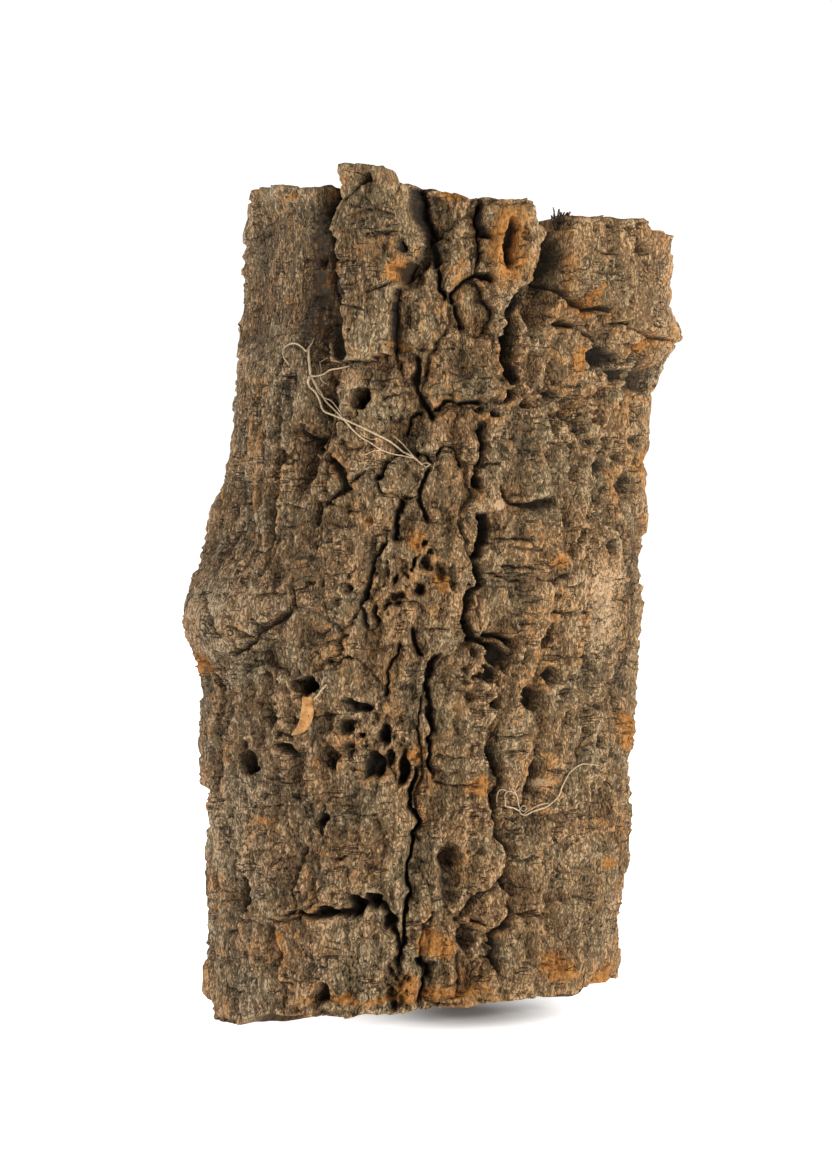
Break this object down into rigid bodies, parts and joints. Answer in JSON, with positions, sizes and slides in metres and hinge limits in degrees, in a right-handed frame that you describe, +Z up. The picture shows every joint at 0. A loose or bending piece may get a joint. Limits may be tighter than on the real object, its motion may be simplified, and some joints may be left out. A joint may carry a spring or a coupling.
{
  "type": "cork branch",
  "caption": "Hollow length of rough cork oak bark, sawn at both ends, standing upright, with dried rootlets, a dry leaf and lichen caught on it.",
  "frame": {"origin": "on the surface that the tube stands on, under the middle of its box", "axes": "+Z up the branch, -Y towards the viewer of its front, +X to that viewer's right"},
  "size_m": [0.2505, 0.206, 0.4075],
  "materials": {
    "cork_bark": "rough matte bark, grey-brown crust over orange-brown cork",
    "dried_rootlet": "matte dry fibre",
    "dry_leaf": "satin dry leaf",
    "dark_lichen": "matte dry lichen"
  },
  "bodies": {
    "root": {"cork_tube": "cork_bark", "upper_rootlets": "dried_rootlet", "lower_rootlets": "dried_rootlet", "dry_leaf": "dry_leaf", "rim_tuft": "dark_lichen"}
  },
  "joints": []
}
